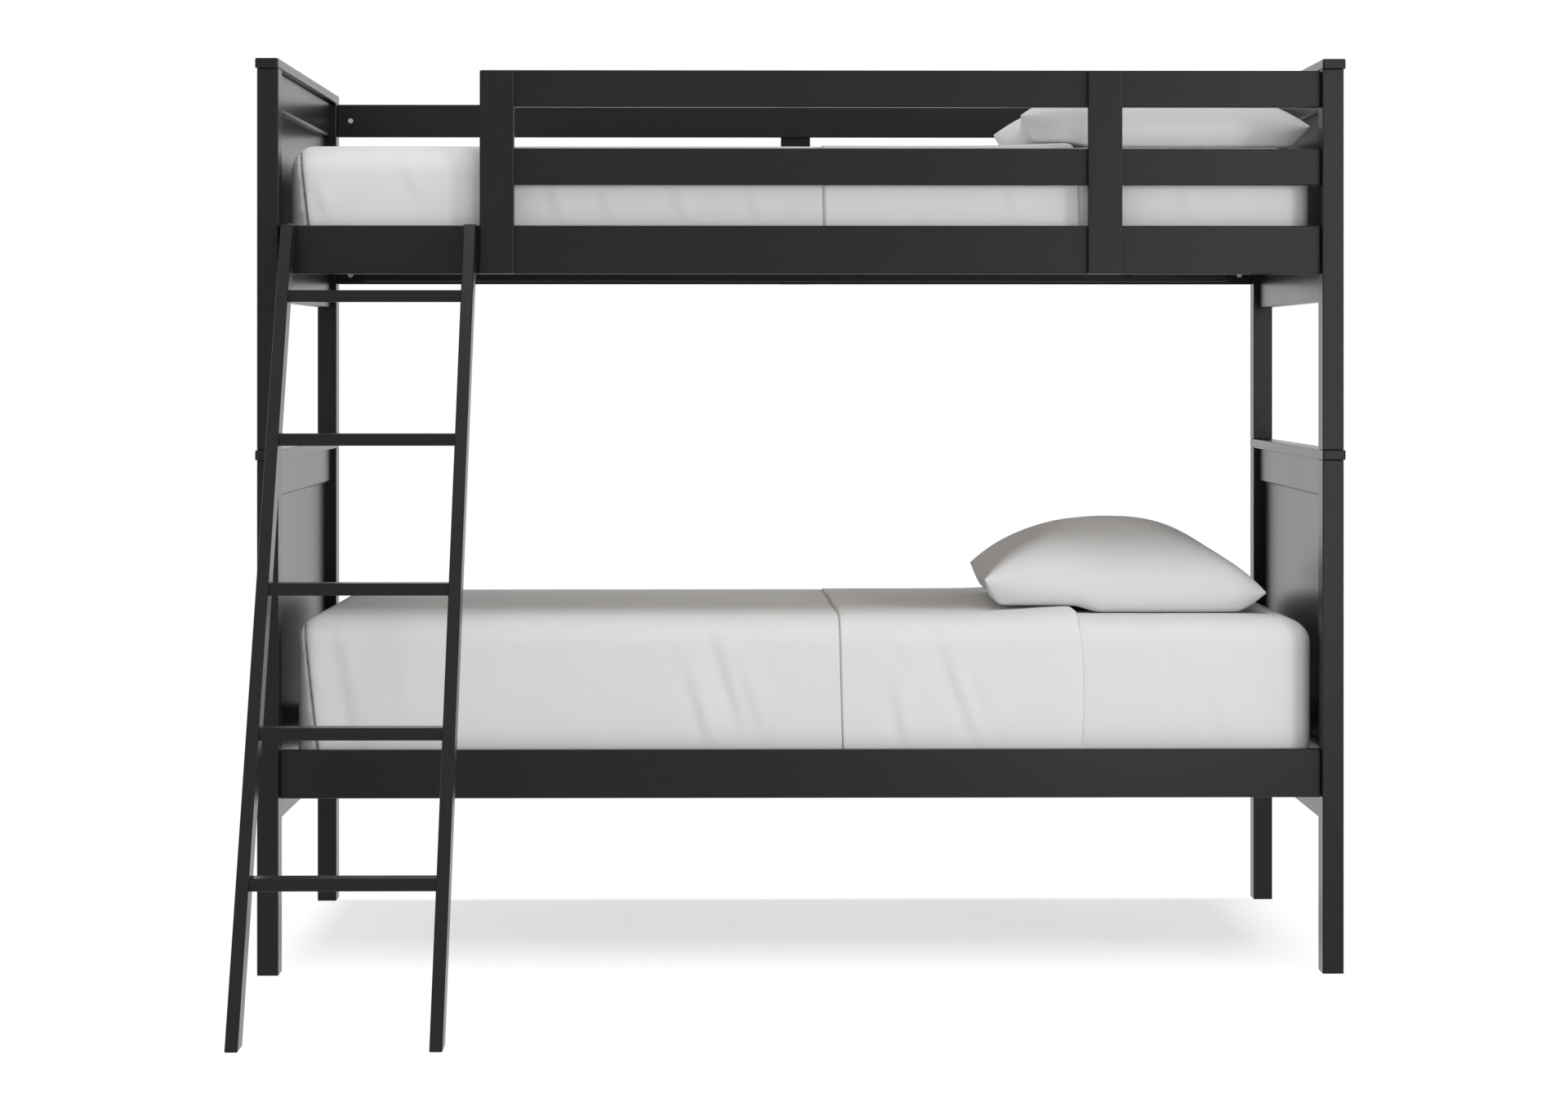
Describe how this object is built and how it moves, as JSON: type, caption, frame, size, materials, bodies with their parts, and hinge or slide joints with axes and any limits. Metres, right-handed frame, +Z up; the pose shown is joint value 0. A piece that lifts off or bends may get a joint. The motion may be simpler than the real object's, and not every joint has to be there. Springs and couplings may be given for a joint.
{
  "type": "bunk bed with ladder",
  "caption": "Twin bunk bed with panelled ends, guard rails, a leaning hook-on ladder, mattresses and pillows; the upper bed stands on pins in the lower one.",
  "frame": {"origin": "on the floor, in the middle of the whole outline with the ladder in place", "axes": "+X along the bed towards the pillows, +Y from the ladder towards the back, +Z up"},
  "size_m": [2.02, 1.9, 1.6981],
  "materials": {
    "black_paint": "black satin paint on wood",
    "slat_pine": "bare planed pine",
    "white_cotton": "white woven cotton",
    "steel": "plain steel",
    "yellow_zinc": "yellow zinc plate"
  },
  "bodies": {
    "lower_bed": {"lower_post_front_left": "black_paint", "lower_post_back_left": "black_paint", "lower_post_front_right": "black_paint", "lower_post_back_right": "black_paint", "lower_cap_left": "black_paint", "lower_end_top_rail_left": "black_paint", "lower_end_panel_left": "black_paint", "lower_end_bottom_rail_left": "black_paint", "lower_cap_right": "black_paint", "lower_end_top_rail_right": "black_paint", "lower_end_panel_right": "black_paint", "lower_end_bottom_rail_right": "black_paint", "lower_side_rail_front": "black_paint", "lower_cleat_front": "black_paint", "lower_side_rail_back": "black_paint", "lower_cleat_back": "black_paint", "lower_slat_roll": "slat_pine", "lower_mattress": "white_cotton", "lower_pillow": "white_cotton", "bunk_pin_front_left": "steel", "bunk_pin_back_left": "steel", "bunk_pin_front_right": "steel", "bunk_pin_back_right": "steel"},
    "upper_bed": {"upper_post_front_left": "black_paint", "upper_post_back_left": "black_paint", "upper_post_front_right": "black_paint", "upper_post_back_right": "black_paint", "upper_cap_left": "black_paint", "upper_end_top_rail_left": "black_paint", "upper_end_panel_left": "black_paint", "upper_end_bottom_rail_left": "black_paint", "upper_cap_right": "black_paint", "upper_end_top_rail_right": "black_paint", "upper_end_panel_right": "black_paint", "upper_end_bottom_rail_right": "black_paint", "upper_side_rail_front": "black_paint", "upper_cleat_front": "black_paint", "upper_side_rail_back": "black_paint", "upper_cleat_back": "black_paint", "upper_slat_roll": "slat_pine", "upper_mattress": "white_cotton", "upper_pillow": "white_cotton", "guard_top_rail_front": "black_paint", "guard_middle_rail_front": "black_paint", "guard_rail_back": "black_paint", "guard_board_left": "black_paint", "guard_board_right": "black_paint", "guard_support_back": "black_paint"},
    "ladder": {"ladder_rail_left": "black_paint", "ladder_rail_right": "black_paint", "ladder_tread_1": "black_paint", "ladder_tread_2": "black_paint", "ladder_tread_3": "black_paint", "ladder_tread_4": "black_paint", "ladder_tread_5": "black_paint", "ladder_hook_left": "yellow_zinc", "ladder_hook_right": "yellow_zinc"}
  },
  "joints": [
    {"name": "upper_bed_lift", "type": "slide", "parent": "lower_bed", "child": "upper_bed", "axis": [0, 0, 1], "range_m": [0, 0.06]},
    {"name": "ladder_lift", "type": "slide", "parent": "upper_bed", "child": "ladder", "axis": [0, 0, 1], "range_m": [0, 0.04]}
  ]
}
